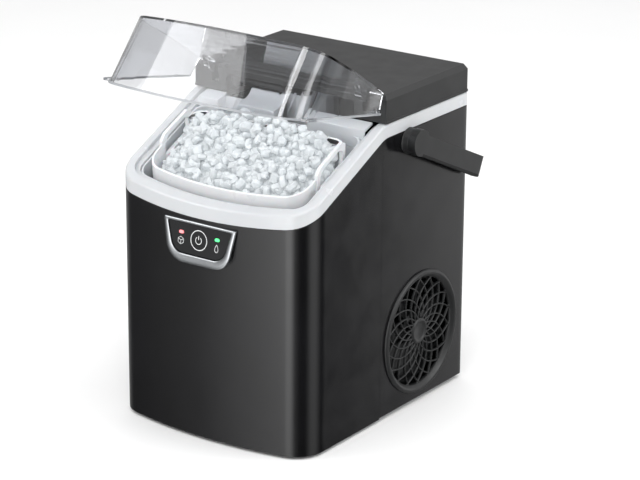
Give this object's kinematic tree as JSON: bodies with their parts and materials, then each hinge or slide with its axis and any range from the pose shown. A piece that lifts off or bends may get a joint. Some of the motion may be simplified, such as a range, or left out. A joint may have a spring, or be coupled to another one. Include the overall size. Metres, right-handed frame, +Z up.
{
  "type": "ice maker",
  "caption": "Compact countertop ice maker with a clear lift-up lid over a white basin and basket, black housing, spiral fan grille and folding carry handle.",
  "frame": {"origin": "under the middle of the machine on the counter, at the centre of its depth with the lid open and the handle folded back", "axes": "+Z up, the control panel faces -Y, +X to the right seen from the front, the fan grille is on the +X side"},
  "size_m": [0.254, 0.3115, 0.3967],
  "materials": {
    "housing_black": "satin black painted housing",
    "black_plastic": "black moulded plastic",
    "black_matt": "matt black moulded plastic",
    "foot_rubber": "soft black rubber",
    "white_trim": "satin white moulded plastic",
    "white_liner": "white moulded liner plastic",
    "white_basket": "satin white moulded plastic",
    "clear_lid": "clear, slightly smoky acrylic",
    "bezel_metal": "brushed bright metal finish",
    "panel_gloss": "gloss black panel",
    "lamp_red": "red indicator lens",
    "lamp_green": "green indicator lens",
    "circuit_board": "green circuit board",
    "steel": "brushed stainless steel",
    "fin_aluminium": "plain aluminium fins",
    "painted_steel": "black enamelled steel",
    "copper": "drawn copper",
    "hose_silicone": "translucent silicone"
  },
  "bodies": {
    "machine": {"front_shell": "housing_black", "rear_shell": "housing_black", "base_pan": "black_plastic", "foot_front_left": "foot_rubber", "foot_front_right": "foot_rubber", "foot_rear_left": "foot_rubber", "foot_rear_right": "foot_rubber", "top_frame": "white_trim", "basin_liner": "white_liner", "rear_deck": "white_liner", "ice_chute": "white_liner", "top_cap": "black_matt", "hinge_pin_left": "steel", "hinge_pin_right": "steel", "handle_boss_left": "black_matt", "handle_boss_right": "black_matt", "panel_bezel": "bezel_metal", "panel_face": "panel_gloss", "lamp_ice_full": "lamp_red", "lamp_add_water": "lamp_green", "display_board": "circuit_board", "fan_grille": "black_matt", "fan_shroud": "black_plastic", "fan_motor": "steel", "condenser": "fin_aluminium", "compressor": "painted_steel", "auger_barrel": "steel", "evaporator_coil": "copper", "gear_motor": "painted_steel", "ice_outlet": "white_liner", "water_pump": "black_plastic", "power_board": "circuit_board", "power_inlet": "black_plastic", "pump_hose": "hose_silicone", "feed_hose": "hose_silicone", "suction_line": "copper"},
    "lid": {"lid": "clear_lid"},
    "basket": {"ice_basket": "white_basket"},
    "handle": {"carry_handle": "black_matt"},
    "button": {"power_button": "panel_gloss"},
    "fan": {"fan_rotor": "black_plastic"},
    "auger": {"ice_auger": "steel"},
    "lever": {"level_lever": "black_matt"},
    "drain": {"drain_plug": "foot_rubber"}
  },
  "joints": [
    {"name": "lid_hinge", "type": "hinge", "parent": "machine", "child": "lid", "pos_m": [0, 0.0149, 0.32], "axis": [-1, 0, 0], "range_deg": [-36, 44]},
    {"name": "basket_lift", "type": "slide", "parent": "machine", "child": "basket", "axis": [0, 0, 1], "range_m": [0, 0.05]},
    {"name": "handle_swing", "type": "hinge", "parent": "machine", "child": "handle", "pos_m": [0, 0.0427, 0.273], "axis": [1, 0, 0], "range_deg": [0, 115]},
    {"name": "button_press", "type": "slide", "parent": "machine", "child": "button", "axis": [0, 1, 0], "range_m": [0, 0.0012], "stiffness_N_per_m": 400},
    {"name": "fan_spin", "type": "hinge", "parent": "machine", "child": "fan", "pos_m": [0.095, 0.0692, 0.073], "axis": [1, 0, 0], "continuous": true},
    {"name": "auger_spin", "type": "hinge", "parent": "machine", "child": "auger", "pos_m": [0, 0.0402, 0.16], "axis": [0, 0, 1], "continuous": true},
    {"name": "lever_swing", "type": "hinge", "parent": "machine", "child": "lever", "pos_m": [-0.067, 0.0112, 0.31], "axis": [0, 0, -1], "range_deg": [0, 20], "stiffness_Nm_per_rad": 0.01},
    {"name": "drain_pull", "type": "slide", "parent": "machine", "child": "drain", "axis": [0, 1, 0], "range_m": [0, 0.012]}
  ]
}
